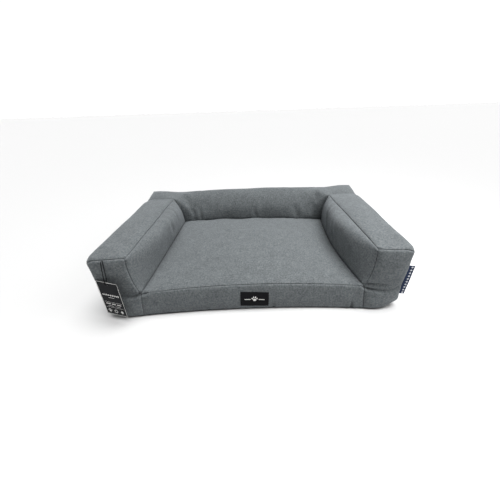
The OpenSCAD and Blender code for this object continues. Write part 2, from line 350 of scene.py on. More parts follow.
def corners(side):
    """The seams' meeting points on one side: front, back and rear, at the floor, deck and top.
    The two arms are stuffed a little unevenly, so a few places differ from side to side."""
    left = side < 0
    out = HALF_W + COVER_STANDS_OUT
    inner_front, inner_back = (0.303, 0.294) if left else (0.308, 0.290)
    seat_back_x, seat_back_z = (0.268, 0.083) if left else (0.275, 0.073)
    return {
        "front_out_low": (side * (out + 0.001), FRONT - 0.008, BASE_ROWS[0]),
        "front_out_mid": (side * out, FRONT - 0.002, DECK),
        "front_out_top": (side * (out + 0.001), FRONT - 0.001, TOP - 0.010),
        "front_in_top": (side * inner_front, FRONT + (0.007 if left else 0.012), TOP - 0.004),
        "front_in_mid": (side * (SEAM_X - 0.005), FRONT - 0.002, DECK + 0.003),
        "front_in_low": (side * (SEAM_X - 0.001), FRONT - 0.018, BASE_ROWS[0]),
        "back_in_top": (side * inner_back, BACK_Y - (0.002 if left else 0.012), TOP - 0.002),
        "back_in_mid": (side * seat_back_x, BACK_Y - 0.002, seat_back_z),
        "back_out_top": (side * (out + 0.005), BACK_Y, TOP - 0.006),
        "back_out_mid": (side * (out + 0.005), BACK_Y, DECK),
        "back_out_low": (side * (out + 0.003), BACK_Y, BASE_ROWS[0]),
        "rear_out_top": (side * (out + 0.004), REAR - 0.005, TOP + 0.006),
        "rear_out_mid": (side * out, REAR - 0.002, DECK),
        "rear_out_low": (side * (out - 0.002), REAR - 0.006, BASE_ROWS[0]),
        "rear_in_top": (side * SEAM_X, REAR - 0.002, TOP - 0.001),
        "rear_in_mid": (side * SEAM_X, REAR, DECK),
        "rear_in_low": (side * SEAM_X, REAR - 0.005, BASE_ROWS[0]),
    }


FLARE, FLARE_REACH = 0.007, 0.028
SIDE_BOW, CORNER_BOW, FRONT_BOW, LOW_BOW = 0.005, 2.2, 0.006, 0.006
SHOULDER = 0.25
ARM_LEAN_IN = {-1: 0.001, 1: 0.018}
WAIST_HOLD = {-1: 0.55, 1: 0.8}
WAIST_OUT = 0.006
BAND_SCOOP, BAND_RISE = 0.015, 0.008
BACK_RISE, BACK_WAVE = 0.010, 0.0015
BACK_ROUND, BACK_LIFT, BACK_ROUND_SHARE = 0.062, 0.004, 0.09


def hump(t, power=1.0):
    """Nothing at both ends and one in the middle."""
    return np.sin(math.pi * t).clip(0, 1) ** power


def flared(a, b, t, side):
    """An outer seam along an arm: it stands out just behind the front corner."""
    run = line(a, b, t)
    s = t * np.linalg.norm(np.subtract(b, a)) / FLARE_REACH
    run[:, 0] += side * FLARE * s * np.exp(1 - s)
    return run


def shouldered(a, b, t):
    """A seam over an arm from its outer side: it climbs over a round shoulder, then runs flat."""
    run = line(a, b, t)
    a, b = np.array(a), np.array(b)
    run[:, 2] = a[2] + (b[2] - a[2]) * np.sin(0.5 * math.pi * np.clip(t / SHOULDER, 0, 1))
    return run


def arm_crease(side, a, b):
    """Where the seat meets an arm: the right arm's filling bulges furthest over the seat."""
    t = DEPTH_STEPS
    run = line(a, b, t)
    run[:, 0] -= side * ARM_LEAN_IN[side] * hump(t, 0.8)
    run[:, 2] = a[2] + (b[2] - a[2]) * ease(t)
    return run


def front_scoop(a, b, rise, depth):
    """A seam across the front of the seat, set back and raised in the middle."""
    t = SEAT_STEPS
    run = line(a, b, t)
    middle = 1 - (2 * t - 1) ** 2
    run[:, 1] += depth * middle
    run[:, 2] += rise * middle ** 0.8
    return run


def arm_front_waist(side, a, b):
    """The fold across an arm's front at the top of the foam: deep by the seat, gone outside."""
    t = ARM_STEPS
    run = line(a, b, t)
    run[:, 1] -= WAIST_OUT * (1 - ease(t / 0.7))
    hold = WAIST_HOLD[side] * ease((t - 0.15) / 0.6)
    return run, hold


def back_crease(a, b):
    """Where the seat meets the back: highest in the middle, with shallow waves."""
    t = SEAT_STEPS
    run = line(a, b, t)
    middle = hump(t)
    run[:, 2] += BACK_RISE * middle ** 0.7 + BACK_WAVE * middle * np.sin(9 * math.pi * t)
    run[:, 1] += BACK_WAVE * middle * np.sin(7 * math.pi * t + 1)
    return run


def back_edge(a, b):
    """The round of the back bolster between its inner face and its top."""
    run = line(a, b, SEAT_STEPS)
    away = ease(np.minimum(SEAT_STEPS, 1 - SEAT_STEPS) / BACK_ROUND_SHARE)
    run[:, 1] += BACK_ROUND * away
    run[:, 2] += BACK_LIFT * away
    return run


def bowed_corner(a, b):
    """The seam up a back corner: upright at first, then leaning away over the round."""
    t = BOLSTER_STEPS
    run = line(a, b, t)
    run[:, 0] = a[0] + (b[0] - a[0]) * t ** CORNER_BOW
    return run


def side_curves(side):
    c = {name: np.array(p) for name, p in corners(side).items()}
    made = {}

    def between(a, b, t):
        return line(c[a], c[b], t)

    for place in ("front_out", "back_out", "rear_out", "front_in", "rear_in"):
        hold = FREE if place == "rear_in" else SEAM
        made[place + "_base"] = (between(place + "_low", place + "_mid", BASE_STEPS), hold)
        made[place + "_bolster"] = (between(place + "_mid", place + "_top", BOLSTER_STEPS), hold)
    made["back_in_bolster"] = (bowed_corner(c["back_in_mid"], c["back_in_top"]), SEAM)
    made["front_in_bolster"][0][:, 0] += side * FRONT_BOW * np.sin(math.pi * BOLSTER_STEPS)
    for level, hold in (("_low", SEAM), ("_mid", FREE), ("_top", SEAM)):
        made["rear" + level] = (between("rear_out" + level, "rear_in" + level, ARM_STEPS), hold)
        made["side" + level] = (between("front_out" + level, "back_out" + level, DEPTH_STEPS), hold)
        made["end" + level] = (between("back_out" + level, "rear_out" + level, BACK_STEPS), hold)
    outer = flared(c["front_out_top"], c["back_out_top"], DEPTH_STEPS, side)
    outer[:, 0] -= side * SIDE_BOW * np.sin(math.pi * DEPTH_STEPS)
    made["side_top"] = (outer, SEAM)
    low = between("front_out_low", "front_in_low", ARM_STEPS)
    low[:, 1] -= LOW_BOW * np.sin(math.pi * ARM_STEPS)
    made["front_low"] = (low, SEAM)
    made["front_mid"] = arm_front_waist(side, c["front_out_mid"], c["front_in_mid"])
    made["front_top"] = (shouldered(c["front_out_top"], c["front_in_top"], ARM_STEPS), SEAM)
    made["inner_top"] = (between("front_in_top", "back_in_top", DEPTH_STEPS), SEAM)
    made["crease"] = (arm_crease(side, c["front_in_mid"], c["back_in_mid"]), SEAM)
    made["arm_end"] = (shouldered(c["back_out_top"], c["back_in_top"], ARM_STEPS), SOFT_SEAM)
    made["back_line"] = (between("back_in_top", "rear_in_top", BACK_STEPS), FREE)
    return made


def build_curves():
    curves = {}
    for side, tag in ((-1, "L"), (1, "R")):
        curves.update({tag + name: curve for name, curve in side_curves(side).items()})
    ends = {name: (np.array(p), np.array(corners(1)[name])) for name, p in corners(-1).items()}
    curves["band_low"] = (front_scoop(*ends["front_in_low"], 0, BAND_SCOOP), SEAM)
    curves["band_top"] = (front_scoop(*ends["front_in_mid"], BAND_RISE, BAND_SCOOP), SEAM)
    curves["back_crease"] = (back_crease(*ends["back_in_mid"]), SEAM)
    curves["back_edge"] = (back_edge(*ends["back_in_top"]), FREE)
    for level, hold in (("_low", SEAM), ("_mid", FREE), ("_top", SEAM)):
        curves["rear" + level] = (line(*ends["rear_in" + level], SEAT_STEPS), hold)
    return curves


def coons(low, high, start, end):
    """A grid between four curves. low and high run the same way; start and end join them."""
    u = (np.linalg.norm(low - low[0], axis=1) / np.linalg.norm(low[-1] - low[0]))[:, None, None]
    v = (np.linalg.norm(start - start[0], axis=1)
         / np.linalg.norm(start[-1] - start[0]))[None, :, None]
    ruled = (1 - v) * low[:, None] + v * high[:, None] + (1 - u) * start[None] + u * end[None]
    corner = ((1 - u) * (1 - v) * low[0] + u * (1 - v) * low[-1]
              + (1 - u) * v * high[0] + u * v * high[-1])
    grid = ruled - corner
    grid[:, 0], grid[:, -1], grid[0], grid[-1] = low, high, start, end
    return grid


PANELS = ["left_arm_top", "right_arm_top", "left_arm_inner", "right_arm_inner", "left_arm_front",
          "right_arm_front", "left_side", "right_side", "left_back_end", "right_back_end",
          "back_bolster", "rear", "rear_lower", "zip_slot", "seat", "front_band", "bottom"]


def build_patches(c):
    """Each patch as (panel, kind, low, high, start, end, which way is out)."""
    def points(name):
        return c[name][0]

    def chain(*names):
        runs = [points(n[1:])[::-1] if n[0] == "-" else points(n) for n in names]
        return np.concatenate([runs[0]] + [r[1:] for r in runs[1:]])

    patches = []
    for tag, word, side in (("L", "left", -1), ("R", "right", 1)):
        def add(panel, kind, low, high, start, end, out, tag=tag):
            patches.append((panel, kind, *(points(tag + n) for n in (low, high, start, end)), out))

        add(word + "_arm_top", "arm_top", "front_top", "arm_end", "side_top", "inner_top", (0, 0, 1))
        add(word + "_arm_inner", "arm_inner", "crease", "inner_top", "front_in_bolster",
            "back_in_bolster", (-side, 0, 0.35))
        for low, high, rows, suffix in (("low", "mid", "_base", "_base"), ("mid", "top", "_bolster", "")):
            add(word + "_arm_front", "arm_front" + suffix, "front_" + low, "front_" + high,
                "front_out" + rows, "front_in" + rows, (0, -1, 0))
            add(word + "_side", "side" + suffix, "side_" + low, "side_" + high,
                "front_out" + rows, "back_out" + rows, (side, 0, 0))
            add(word + "_back_end", "back_end" + suffix, "end_" + low, "end_" + high,
                "back_out" + rows, "rear_out" + rows, (side, 0, 0))
            add("rear", "rear" + suffix, "rear_" + low, "rear_" + high, "rear_out" + rows,
                "rear_in" + rows, (0, 1, 0))
        add("back_bolster", "back_top", "arm_end", "rear_top", "end_top", "back_line", (0, 0, 1))
    for panel, kind, low, high, rows, out in (
            ("seat", "seat", "band_top", "back_crease", "crease", (0, 0, 1)),
            ("front_band", "front_band", "band_low", "band_top", "front_in_base", (0, -1, 0)),
            ("back_bolster", "back_inner", "back_crease", "back_edge", "back_in_bolster",
             (0, -0.87, 0.5)),
            ("back_bolster", "back_top", "back_edge", "rear_top", "back_line", (0, 0, 1)),
            ("rear", "rear_base", "rear_low", "rear_mid", "rear_in_base", (0, 1, 0)),
            ("rear", "rear", "rear_mid", "rear_top", "rear_in_bolster", (0, 1, 0))):
        patches.append((panel, kind, points(low), points(high), points("L" + rows),
                        points("R" + rows), out))
    patches.append(("bottom", "bottom", chain("Lfront_low", "band_low", "-Rfront_low"),
                    chain("Lrear_low", "rear_low", "-Rrear_low"),
                    chain("Lside_low", "Lend_low"), chain("Rside_low", "Rend_low"), (0, 0, -1)))
    return patches


FLOOR_GAP = 0.0008
# How far each panel's filling pushes it out at its middle, and how steeply it leaves its seams.
CROWN = {"arm_top": (0.012, 0.65), "arm_inner": (0.028, 0.75), "arm_front_base": (0.009, 0.5),
         "arm_front": (0.011, 0.55), "side_base": (0.004, 0.5), "side": (0.003, 0.4),
         "back_end_base": (0.004, 0.5), "back_end": (0.007, 0.45), "seat": (0.010, 0.5),
         "front_band": (0.005, 0.5), "back_inner": (0.012, 0.9), "back_top": (0.012, 0.45),
         "rear": (0.005, 0.5)}
TOP_HEAVY = {"arm_inner": 1.9, "back_inner": 1.0}
SHOULDER_ROUND = 0.009


def crown(kind, n, m):
    height, steepness = CROWN[kind]
    u, v = np.linspace(0, 1, n)[:, None], np.linspace(0, 1, m)[None] ** TOP_HEAVY.get(kind, 1)
    return height * np.abs(np.sin(math.pi * u) * np.sin(math.pi * v)) ** steepness


def shape_patch(kind, grid, out):
    """What a panel's cut and the filling behind it give it before it is stuffed."""
    if kind == "bottom":
        grid[1:-1, 1:-1, 2] = FLOOR_GAP
        return grid
    if kind == "rear_base":
        return flatten_zip_band(grid)
    n, m = grid.shape[:2]
    grid += crown(kind, n, m)[..., None] * np.array(out, float)
    if kind == "arm_top":
        across = np.linspace(0, 1, n)[:, None]
        along = np.linspace(0, 1, m)[None]
        rise = np.sin(math.pi * np.clip(across / 0.3, 0, 1)) * np.sin(math.pi * along) ** 0.25
        grid[..., 2] += SHOULDER_ROUND * rise
    return grid


def flatten_zip_band(grid):
    """The rear is flat where the zip is sewn in, above a rounded lower edge."""
    rise = np.linspace(0, 1, grid.shape[1])[None]
    inside = ease((HALF_W - np.abs(grid[..., 0])) / 0.02)
    grid[..., 1] += (grid[:, -1:, 1] - grid[..., 1]) * ease(rise / 0.25) * inside
    return grid


def rear_panel_at(centre):
    """The rear patches hold three panels: the zip's slot, the band under it and the rear itself."""
    if abs(centre[0]) < ZIP_END - 0.001 and ZIP_LO < centre[2] < ZIP_HI:
        return "zip_slot"
    return "rear_lower" if centre[2] < ZIP_HI else "rear"


UV_APART = (0.37, 0.23)


def read(items, what, width, kind=float):
    """One value for each of a mesh's items, as an array with rows of that width."""
    values = np.empty(len(items) * width, kind)
    items.foreach_get(what, values)
    return values.reshape(-1, width) if width > 1 else values


def write(items, what, values):
    items.foreach_set(what, np.asarray(values, np.float32).ravel())


class Cover:
    """The welded cover: vertices, quads, each quad's panel and its cloth coordinates."""

    def __init__(self, curves):
        self.verts, self.quads, self.panel, self.uv = [], [], [], []
        self.index = {}
        for number, (panel, kind, low, high, start, end, out) in enumerate(build_patches(curves)):
            grid = shape_patch(kind, coons(low, high, start, end), out)
            self.add_grid(panel, grid, Vector(out), number)
        self.verts = np.array(self.verts)
        self.hold = np.zeros(len(self.verts))
        for points, hold in curves.values():
            for p, firmness in zip(points, np.broadcast_to(hold, len(points))):
                if firmness > 0:
                    i = self.index[self.key(p)]
                    self.hold[i] = max(self.hold[i], firmness)

    @staticmethod
    def key(p):
        return tuple(int(round(x * 1e5)) for x in p)

    def vertex(self, p):
        k = self.key(p)
        if k not in self.index:
            self.index[k] = len(self.verts)
            self.verts.append(tuple(p))
        return self.index[k]

    def add_grid(self, panel, grid, out, number):
        n, m = grid.shape[:2]
        along = np.linalg.norm(np.diff(grid, axis=0), axis=2).mean(1)
        up = np.linalg.norm(np.diff(grid, axis=1), axis=2).mean(0)
        u = np.concatenate([[0], np.cumsum(along)]) + number * UV_APART[0]
        v = np.concatenate([[0], np.cumsum(up)]) + number * UV_APART[1]
        ids = [[self.vertex(grid[i, j]) for j in range(m)] for i in range(n)]
        normal = Vector(np.cross(grid[n // 2 + 1, m // 2] - grid[n // 2, m // 2],
                                 grid[n // 2, m // 2 + 1] - grid[n // 2, m // 2]))
        flip = normal.dot(out) < 0
        for i in range(n - 1):
            for j in range(m - 1):
                ring = [(i, j), (i + 1, j), (i + 1, j + 1), (i, j + 1)][::-1 if flip else 1]
                centre = (grid[i, j] + grid[i + 1, j + 1]) / 2
                name = rear_panel_at(centre) if panel == "rear" else panel
                self.quads.append([ids[a][b] for a, b in ring])
                self.uv.extend((u[a], v[b]) for a, b in ring)
                self.panel.append(PANELS.index(name))

    def to_object(self, name):
        mesh = bpy.data.meshes.new(name)
        mesh.from_pydata([tuple(p) for p in self.verts], [], self.quads)
        for _ in PANELS:
            mesh.materials.append(None)
        mesh.polygons.foreach_set("material_index", self.panel)
        write(mesh.uv_layers.new(name=CLOTH_UV).data, "uv", self.uv)
        return put(name, mesh)

    def vertex_values(self, table, default, pick):
        """One value per vertex from its panels' values, such as how slack the cloth is."""
        values = np.full(len(self.verts), np.nan)
        for quad, panel in zip(self.quads, self.panel):
            value = table.get(PANELS[panel], default)
            for i in quad:
                values[i] = value if np.isnan(values[i]) else pick(values[i], value)
        return values


def vertex_group(obj, name, values):
    group = obj.vertex_groups.new(name=name)
    for level in np.unique(np.round(values, 2)):
        members = np.nonzero(np.round(values, 2) == level)[0]
        if level > 0:
            group.add([int(i) for i in members], float(level), "REPLACE")
    return name


def grain(places, size, seed=0.0):
    shift = Vector((seed, seed * 1.7, -seed))
    return np.array([noise.noise(Vector(p) / size + shift) for p in places])


FRAMES = 24
MOST_MOVE = 0.010
STUFFING = {"quality": 5, "mass": 0.3, "tension_stiffness": 25, "compression_stiffness": 25,
            "shear_stiffness": 8, "bending_stiffness": 1.5, "tension_damping": 10,
            "compression_damping": 10, "use_pressure": True, "uniform_pressure_force": 4.0,
            "pin_stiffness": 1, "shrink_min": 0, "shrink_max": -0.014}
SLACK = {"seat": 0.15, "front_band": 0.6, "bottom": 0.0, "zip_slot": 0.0, "rear": 0.4,
         "rear_lower": 0.2, "back_bolster": 0.8, "left_side": 0.3, "right_side": 0.3,
         "left_arm_top": 0.6, "right_arm_top": 0.6}
KEEP = {"seat": 0.03, "bottom": 1.0, "zip_slot": 1.0}
WARP, WARP_SIZE = 0.0022, 0.13


def warped(places):
    """Stuffing by hand leaves nothing quite straight: a gentle wander of the whole cover."""
    moved = places.copy()
    above = ease((places[:, 2] - 0.05) / 0.05)
    for axis in range(3):
        moved[:, axis] += WARP * grain(places, WARP_SIZE, 11.3 * axis + 2) * above
    return moved


def smoothed(places, quads, free, passes):
    """Rounds the folds that nothing is sewn along."""
    quads = np.array(quads)
    a = np.concatenate([quads[:, k] for k in range(4)])
    b = np.concatenate([quads[:, (k + 1) % 4] for k in range(4)])
    ends, others = np.concatenate([a, b]), np.concatenate([b, a])
    count = np.bincount(ends, minlength=len(places))
    for _ in range(passes):
        for axis in range(3):
            mean = np.bincount(ends, places[others, axis], len(places)) / count
            places[:, axis] += 0.5 * free * (mean - places[:, axis])
    return places


def stuff(obj, hold, slack):
    """Inflates the sewn cover with its seams held, and returns where its vertices end."""
    cloth = obj.modifiers.new("stuffing", "CLOTH")
    for key, value in STUFFING.items():
        setattr(cloth.settings, key, value)
    cloth.settings.effector_weights.gravity = 0
    cloth.settings.vertex_group_mass = vertex_group(obj, "hold", hold)
    cloth.settings.vertex_group_shrink = vertex_group(obj, "slack", slack)
    cloth.collision_settings.use_collision = False
    cloth.point_cache.frame_start, cloth.point_cache.frame_end = 1, FRAMES
    for f in range(1, FRAMES + 1):
        bpy.context.scene.frame_set(f)
    graph = bpy.context.evaluated_depsgraph_get()
    moved = read(obj.evaluated_get(graph).to_mesh().vertices, "co", 3)
    obj.evaluated_get(graph).to_mesh_clear()
    obj.modifiers.remove(cloth)
    bpy.context.scene.frame_set(1)
    return moved


def capped(rest, moved, cap):
    step = moved - rest
    size = np.linalg.norm(step, axis=1, keepdims=True)
    return rest + step * (cap * np.tanh(size / cap) / np.maximum(size, 1e-9))


def baked(obj):
    """The object's mesh with its modifiers applied, which then come off the object."""
    graph = bpy.context.evaluated_depsgraph_get()
    mesh = bpy.data.meshes.new_from_object(obj.evaluated_get(graph))
    obj.modifiers.clear()
    return mesh


def read_mesh(obj, levels):
    """The mesh after smoothing, as arrays: places, normals, quads, panel and cloth coordinates."""
    smooth = obj.modifiers.new("smooth", "SUBSURF")
    smooth.levels = levels
    mesh = baked(obj)
    places, normals = read(mesh.vertices, "co", 3), read(mesh.vertices, "normal", 3)
    quads = read(mesh.loops, "vertex_index", 1, int).reshape(-1, 4)
    panel = read(mesh.polygons, "material_index", 1, int)
    uv = read(mesh.uv_layers[CLOTH_UV].data, "uv", 2).reshape(-1, 4, 2)
    bpy.data.meshes.remove(mesh)
    return places, normals, quads, panel, uv


# These panels meet in flat seams that don't show.
FLAT_JOINED = ["left_arm_top", "right_arm_top", "back_bolster"]


def seam_points(quads, panel):
    """The vertices that two panels share."""
    first = np.full(quads.max() + 1, -9)
    shared = np.zeros(quads.max() + 1, bool)
    for corner in range(4):
        ids = quads[:, corner]
        unseen = first[ids] == -9
        first[ids[unseen]] = panel[unseen]
        shared[ids[first[ids] != panel]] = True
    return shared


def seam_distance(places, shared):
    tree = kdtree.KDTree(int(shared.sum()))
    for i in np.nonzero(shared)[0]:
        tree.insert(places[i], int(i))
    tree.balance()
    return np.array([tree.find(p)[2] for p in places])


GROOVE_DEPTH, GROOVE_WIDTH = 0.0020, 0.0024
PUCKER, PUCKER_REACH, PUCKER_SIZE = 0.0009, 0.009, 0.008
# The filling's lumps: height, size and the noise's seed.
LUMPS = [(0.0022, 0.085, 3.1), (0.0008, 0.03, 7.7)]
LUMPS_START = 0.02

# Folds pressed into the stuffed cloth: points, depth, width, and whether it opens at its start.
FOLDS = [
    ([(-0.283, -0.262, 0.070), (-0.312, -0.265, 0.064), (-0.345, -0.266, 0.057)], 0.0060, 0.0045, 1),
    ([(0.292, -0.262, 0.076), (0.318, -0.266, 0.074), (0.350, -0.266, 0.070)], 0.0055, 0.0036, 1),
    ([(0.292, -0.262, 0.067), (0.325, -0.266, 0.058), (0.350, -0.266, 0.0535), (0.370, -0.266, 0.058),
      (0.388, -0.262, 0.069)], 0.0070, 0.0045, 1),
    ([(0.284, 0.130, 0.165), (0.277, 0.135, 0.115), (0.270, 0.137, 0.078)], 0.0042, 0.0070, 0),
    ([(0.286, 0.060, 0.168), (0.280, 0.040, 0.115), (0.268, 0.028, 0.080)], 0.0032, 0.0080, 0),
    ([(0.288, -0.016, 0.165), (0.282, -0.036, 0.120), (0.272, -0.050, 0.085)], 0.0018, 0.0080, 0),
    ([(-0.231, 0.165, 0.094), (-0.231, 0.168, 0.142)], 0.0042, 0.0070, 1),
    ([(-0.204, 0.165, 0.094), (-0.205, 0.168, 0.146)], 0.0034, 0.0060, 1),
    ([(0.012, 0.165, 0.098), (0.009, 0.168, 0.140)], 0.0026, 0.0070, 1),
    ([(0.176, 0.165, 0.094), (0.163, 0.168, 0.148)], 0.0038, 0.0110, 1),
    ([(-0.293, -0.010, 0.150), (-0.284, 0.010, 0.120)], 0.0022, 0.0090, 0),
    ([(-0.291, 0.060, 0.156), (-0.282, 0.075, 0.126)], 0.0020, 0.0080, 0),
    ([(0.055, -0.262, 0.004), (0.057, -0.262, 0.024)], 0.0044, 0.0040, 1),
    ([(0.266, -0.272, 0.004), (0.267, -0.268, 0.028)], 0.0052, 0.0045, 1),
    ([(-0.120, -0.262, 0.004), (-0.118, -0.262, 0.018)], 0.0020, 0.0060, 1),
    ([(-0.303, -0.252, 0.174), (-0.310, -0.252, 0.174)], 0.0075, 0.0032, 1),
    ([(0.306, -0.248, 0.176), (0.311, -0.248, 0.176)], 0.0075, 0.0032, 1),
]
FOLD_STEPS, FOLD_REACH, LIP = 24, 0.09, 0.35


def spread(points, count):
    """Points evenly spaced along a run of straight pieces."""
    points = np.array(points, float)
    far = np.concatenate([[0], np.cumsum(np.linalg.norm(np.diff(points, axis=0), axis=1))])
    at = np.linspace(0, far[-1], count)
    return np.stack([np.interp(at, far, points[:, axis]) for axis in range(3)], axis=1)


def on_cover(run, places):
    """The run laid on the cover: each point goes to the nearest vertex, then it is evened out."""
    run = np.array([places[np.argmin(((places - p) ** 2).sum(1))] for p in run])
    for _ in range(3):
        run[1:-1] = (run[:-2] + 2 * run[1:-1] + run[2:]) / 4
    return run


def fold_depth(places, points, depth, width, opens):
    """How far each vertex is pressed in by one fold, with a small raised lip beside it."""
    run = on_cover(spread(points, FOLD_STEPS), places)
    near = np.nonzero(((places - run.mean(0)) ** 2).sum(1) < FOLD_REACH ** 2)[0]
    gaps = np.linalg.norm(places[near, None] - run[None], axis=2)
    nearest = gaps.argmin(1)
    gap = gaps[np.arange(len(near)), nearest]
    t = nearest / (FOLD_STEPS - 1)
    fade = np.cos(0.5 * math.pi * t) ** 0.7 if opens else np.sin(math.pi * t.clip(0.04, 0.96)) ** 0.7
    profile = np.exp(-(gap / width) ** 2) - LIP * np.exp(-((gap - 2 * width) / width) ** 2)
    press = np.zeros(len(places))
    press[near] = depth * fade * profile
    return press


CORNER_REACH, CORNER_HEIGHT, CORNER_IN, CORNER_UP = 0.026, 0.028, 0.009, 0.006


def round_lower_corners(places):
    """The stuffed base lifts and pulls in at its four lower corners."""
    low = ease((CORNER_HEIGHT - places[:, 2]) / CORNER_HEIGHT)
    for side in (-1, 1):
        for y, back in ((FRONT - 0.008, 1), (REAR, -1)):
            gap = np.hypot(places[:, 0] - side * HALF_W, places[:, 1] - y)
            pull = low * np.exp(-(gap / CORNER_REACH) ** 2)
            places[:, 0] -= side * CORNER_IN * pull
            places[:, 1] += back * CORNER_IN * pull
            places[:, 2] += CORNER_UP * pull
    return places


def dress(places, normals, distance, bottom):
    """Seam grooves, puckers along them and the filling's gentle lumps."""
    groove = GROOVE_DEPTH * np.exp(-(distance / GROOVE_WIDTH) ** 2)
    pucker = PUCKER * np.exp(-distance / PUCKER_REACH) * grain(places, PUCKER_SIZE)
    lumps = sum(height * grain(places, size, seed) for height, size, seed in LUMPS)
    move = pucker + lumps * (1 - np.exp(-distance / LUMPS_START)) - groove
    for points, depth, width, opens in FOLDS:
        move -= fold_depth(places, points, depth, width, opens)
    move[bottom] = 0
    return round_lower_corners(places + normals * move[:, None])


def panel_object(name, places, quads, uv, distance):
    ids, local = np.unique(quads, return_inverse=True)
    mesh = bpy.data.meshes.new(name)
    mesh.from_pydata(places[ids].tolist(), [], local.reshape(-1, 4).tolist())
    write(mesh.uv_layers.new(name=CLOTH_UV).data, "uv", uv)
    write(mesh.attributes.new(SEAM_ATTRIBUTE, "FLOAT", "POINT").data, "value", distance[ids])
    mesh.polygons.foreach_set("use_smooth", [True] * len(mesh.polygons))
    return put(name, mesh)


def thicken(obj, thickness):
    solid = obj.modifiers.new("cloth_thickness", "SOLIDIFY")
    solid.thickness = thickness
    solid.offset = -1
    bpy.context.view_layer.update()
    old, obj.data = obj.data, baked(obj)
    bpy.data.meshes.remove(old)


CLOTH_T = 0.0014
STANDS_FOR = {"seat": "seat_panel", "rear": "rear_panel", "rear_lower": "rear_lower_band",
              "bottom": "bottom_panel", "front_band": "front_band"}
ROLLED_FROM, ROLLED_SPAN = 0.12, 0.03


def stuffed_cover():
    """The sewn cover, rounded where nothing is sewn, warped and then inflated."""
    cover = Cover(build_curves())
    hold = np.maximum(cover.hold, cover.vertex_values(KEEP, 0.0, max))
    free = 1 - ease(hold * 2)
    y, z = cover.verts[:, 1], cover.verts[:, 2]
    rolled = free * ease((y - ROLLED_FROM) / ROLLED_SPAN) * ease((z - ROLLED_FROM) / ROLLED_SPAN)
    cover.verts = smoothed(cover.verts, cover.quads, free, 4)
    cover.verts = smoothed(cover.verts, cover.quads, rolled, 24)
    cover.verts = warped(cover.verts)
    obj = cover.to_object("sewn_cover")
    moved = stuff(obj, hold, cover.vertex_values(SLACK, 1.0, min))
    write(obj.data.vertices, "co", capped(cover.verts, moved, MOST_MOVE))
    obj.data.update()
    return obj


def on_panel(places, quads, panel, name):
    """Which vertices belong to a panel."""
    found = np.zeros(len(places), bool)
    found[quads[panel == PANELS.index(name)].ravel()] = True
    return found


def make_cover():
    obj = stuffed_cover()
    places, normals, quads, panel, uv = read_mesh(obj, 1)
    bpy.data.objects.remove(obj)
    one_top = np.where(np.isin(panel, [PANELS.index(n) for n in FLAT_JOINED]), -1, panel)
    shared = seam_points(quads, one_top) & ~on_panel(places, quads, panel, "zip_slot")
    distance = seam_distance(places, shared)
    places = dress(places, normals, distance, on_panel(places, quads, panel, "bottom"))
    places[:, 2] = np.maximum(places[:, 2], 0.0)
    cloth, base = upholstery(), plain("base_cloth", (0.012, 0.012, 0.013), (0.03, 0.03, 0.032), 900)
    for number, name in enumerate(PANELS):
        if name != "zip_slot":
            mine = panel == number
            piece = panel_object(name + "_cloth", places, quads[mine], uv[mine], distance)
            thicken(piece, CLOTH_T)
            below = name == "bottom"
            piece.data.materials.clear()
            piece.data.materials.append(base if below else cloth)
            settle(piece, "bed", "non_slip_base" if below else "upholstery",
                   STANDS_FOR.get(name, name + "_panel"))
    return BVHTree.FromPolygons([Vector(p) for p in places], quads.tolist())


# ---- small pieces
def add_mesh(name, verts, faces, material, smooth=False):
    mesh = bpy.data.meshes.new(name)
    mesh.from_pydata([tuple(map(float, v)) for v in verts], [], faces)
    mesh.materials.append(material)
    mesh.polygons.foreach_set("use_smooth", [smooth] * len(mesh.polygons))
    return put(name, mesh)


def settle(obj, body, slot_name, *nodes):
    """Puts a piece on the body it rides on and hides the CAD nodes it stands for. slot_name is not used.
    """
    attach(obj, body)
    if nodes:
        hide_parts(*nodes)
    return obj


def strip(name, place, width, height, cells, thickness, material):
    """A strip of ribbon or card: place(u, v) gives a point, with u across and v up, in metres."""
    n, m = cells
    us, vs = np.linspace(0, width, n + 1), np.linspace(0, height, m + 1)
    verts = [place(u, v) for v in vs for u in us]
    faces = [(j * (n + 1) + i, j * (n + 1) + i + 1, (j + 1) * (n + 1) + i + 1, (j + 1) * (n + 1) + i)
             for j in range(m) for i in range(n)]
    obj = add_mesh(name, verts, faces, material, smooth=True)
    uv = [(us[k % (n + 1)], vs[k // (n + 1)]) for face in faces for k in face]
    write(obj.data.uv_layers.new(name=CLOTH_UV).data, "uv", uv)
    thicken(obj, thickness)
    return obj


